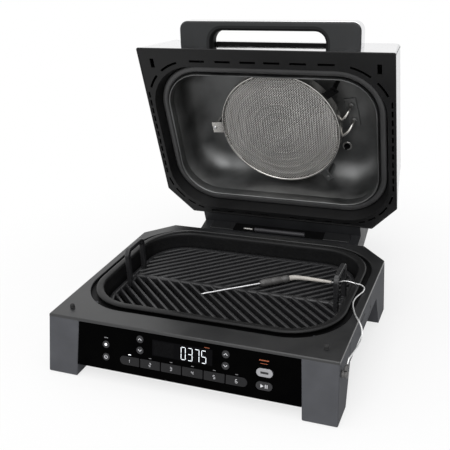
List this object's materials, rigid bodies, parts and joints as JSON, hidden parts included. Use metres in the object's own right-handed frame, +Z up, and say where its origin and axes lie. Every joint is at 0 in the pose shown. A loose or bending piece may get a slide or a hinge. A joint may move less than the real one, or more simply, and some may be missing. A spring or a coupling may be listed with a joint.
{
  "type": "countertop grill with hinged air-frying lid",
  "caption": "Countertop electric grill with a hinged fan-and-heater lid on a legged base, lift-out pot and ribbed grate, key panel with display, and a wired probe.",
  "frame": {"origin": "centre of the bounding box at table height, with the lid open", "axes": "+X to the right as seen from the front, +Y to the rear, +Z up"},
  "size_m": [0.4656, 0.5965, 0.4679],
  "materials": {
    "base_grey": "satin",
    "deck_grey": "satin",
    "black_plastic": "matte",
    "soft_black": "matte",
    "liner_black": "matte",
    "dark_steel": "heat tinted",
    "gloss_black": "gloss",
    "board_green": "satin",
    "key_grey": "satin",
    "key_silver": "satin",
    "steel": "satin",
    "lid_silver": "semi-gloss",
    "cavity_metal": "satin",
    "seal_grey": "satin",
    "handle_grey": "satin",
    "motor_grey": "satin",
    "mesh_steel": "satin",
    "blade_metal": "satin",
    "pot_coat": "non-stick coated",
    "grate_coat": "non-stick coated",
    "boot_grey": "satin",
    "cord_silver": "braided"
  },
  "bodies": {
    "base": {"base_frame": "base_grey", "front_legs": "base_grey", "front_rail": "black_plastic", "deck_cover": "deck_grey", "bottom_tub": "black_plastic", "foot_pads": "soft_black", "well_liner": "liner_black", "lower_heater": "dark_steel", "control_fascia": "gloss_black", "display_window": "gloss_black", "display_module": "black_plastic", "control_board": "board_green", "power_board": "board_green", "lid_bumpers": "soft_black", "mains_gland": "soft_black", "hinge_pins": "steel", "probe_jack": "black_plastic", "probe_plug": "soft_black", "plug_relief": "soft_black"},
    "lid": {"lid_shell": "lid_silver", "lid_frame": "black_plastic", "lid_liner": "cavity_metal", "lid_ceiling": "cavity_metal", "lid_seal": "seal_grey", "handle_core": "handle_grey", "handle_skin": "lid_silver", "hinge_housing": "deck_grey", "motor_bracket": "steel", "fan_motor": "motor_grey", "heater_coil": "dark_steel", "heater_terminal": "mesh_steel", "mesh_cover": "mesh_steel", "mesh_brackets": "mesh_steel", "air_sensor": "steel"},
    "fan": {"fan_shaft": "steel", "fan_blade": "blade_metal", "cooling_blade": "blade_metal"},
    "pot": {"cooking_pot": "pot_coat", "cord_outer": "cord_silver"},
    "grate": {"grill_grate": "grate_coat", "probe_needle": "steel", "probe_grip": "black_plastic", "probe_boot": "boot_grey", "cord_inner": "cord_silver"},
    "tray": {"probe_tray": "base_grey"},
    "key_clock_body": {"key_clock": "key_grey"},
    "key_power_body": {"key_power": "key_grey"},
    "key_left_up_body": {"key_left_up": "key_grey"},
    "key_left_down_body": {"key_left_down": "key_grey"},
    "key_right_up_body": {"key_right_up": "key_grey"},
    "key_right_down_body": {"key_right_down": "key_grey"},
    "key_mode_1_body": {"key_mode_1": "key_grey"},
    "key_mode_2_body": {"key_mode_2": "key_grey"},
    "key_mode_3_body": {"key_mode_3": "key_grey"},
    "key_mode_4_body": {"key_mode_4": "key_grey"},
    "key_mode_5_body": {"key_mode_5": "key_grey"},
    "key_mode_6_body": {"key_mode_6": "key_grey"},
    "key_set_body": {"key_set": "key_silver"},
    "key_start_body": {"key_start": "key_grey"}
  },
  "joints": [
    {"name": "lid_hinge", "type": "hinge", "parent": "base", "child": "lid", "pos_m": [0, 0.1196, 0.042], "axis": [-1, 0, 0], "range_deg": [-74.4, 0]},
    {"name": "fan_spin", "type": "hinge", "parent": "lid", "child": "fan", "pos_m": [0, 0.22541, 0.2766], "axis": [0, 0.9632, 0.2689], "continuous": true},
    {"name": "pot_lift", "type": "slide", "parent": "base", "child": "pot", "axis": [0, 0, 1], "range_m": [0, 0.12], "deforming": ["cord_outer"]},
    {"name": "grate_lift", "type": "slide", "parent": "pot", "child": "grate", "axis": [0, 0, 1], "range_m": [0, 0.09], "deforming": ["cord_inner"]},
    {"name": "tray_slide", "type": "slide", "parent": "base", "child": "tray", "axis": [1, 0, 0], "range_m": [0, 0.012]},
    {"name": "key_clock_press", "type": "slide", "parent": "base", "child": "key_clock_body", "axis": [0, 0.9804, -0.1971], "range_m": [0, 0.0008], "stiffness_N_per_m": 900},
    {"name": "key_power_press", "type": "slide", "parent": "base", "child": "key_power_body", "axis": [0, 0.9804, -0.1971], "range_m": [0, 0.0008], "stiffness_N_per_m": 900},
    {"name": "key_left_up_press", "type": "slide", "parent": "base", "child": "key_left_up_body", "axis": [0, 0.9804, -0.1971], "range_m": [0, 0.0008], "stiffness_N_per_m": 900},
    {"name": "key_left_down_press", "type": "slide", "parent": "base", "child": "key_left_down_body", "axis": [0, 0.9804, -0.1971], "range_m": [0, 0.0008], "stiffness_N_per_m": 900},
    {"name": "key_right_up_press", "type": "slide", "parent": "base", "child": "key_right_up_body", "axis": [0, 0.9804, -0.1971], "range_m": [0, 0.0008], "stiffness_N_per_m": 900},
    {"name": "key_right_down_press", "type": "slide", "parent": "base", "child": "key_right_down_body", "axis": [0, 0.9804, -0.1971], "range_m": [0, 0.0008], "stiffness_N_per_m": 900},
    {"name": "key_mode_1_press", "type": "slide", "parent": "base", "child": "key_mode_1_body", "axis": [0, 0.9804, -0.1971], "range_m": [0, 0.0008], "stiffness_N_per_m": 900},
    {"name": "key_mode_2_press", "type": "slide", "parent": "base", "child": "key_mode_2_body", "axis": [0, 0.9804, -0.1971], "range_m": [0, 0.0008], "stiffness_N_per_m": 900},
    {"name": "key_mode_3_press", "type": "slide", "parent": "base", "child": "key_mode_3_body", "axis": [0, 0.9804, -0.1971], "range_m": [0, 0.0008], "stiffness_N_per_m": 900},
    {"name": "key_mode_4_press", "type": "slide", "parent": "base", "child": "key_mode_4_body", "axis": [0, 0.9804, -0.1971], "range_m": [0, 0.0008], "stiffness_N_per_m": 900},
    {"name": "key_mode_5_press", "type": "slide", "parent": "base", "child": "key_mode_5_body", "axis": [0, 0.9804, -0.1971], "range_m": [0, 0.0008], "stiffness_N_per_m": 900},
    {"name": "key_mode_6_press", "type": "slide", "parent": "base", "child": "key_mode_6_body", "axis": [0, 0.9804, -0.1971], "range_m": [0, 0.0008], "stiffness_N_per_m": 900},
    {"name": "key_set_press", "type": "slide", "parent": "base", "child": "key_set_body", "axis": [0, 0.9804, -0.1971], "range_m": [0, 0.0008], "stiffness_N_per_m": 900},
    {"name": "key_start_press", "type": "slide", "parent": "base", "child": "key_start_body", "axis": [0, 0.9804, -0.1971], "range_m": [0, 0.0008], "stiffness_N_per_m": 900}
  ]
}
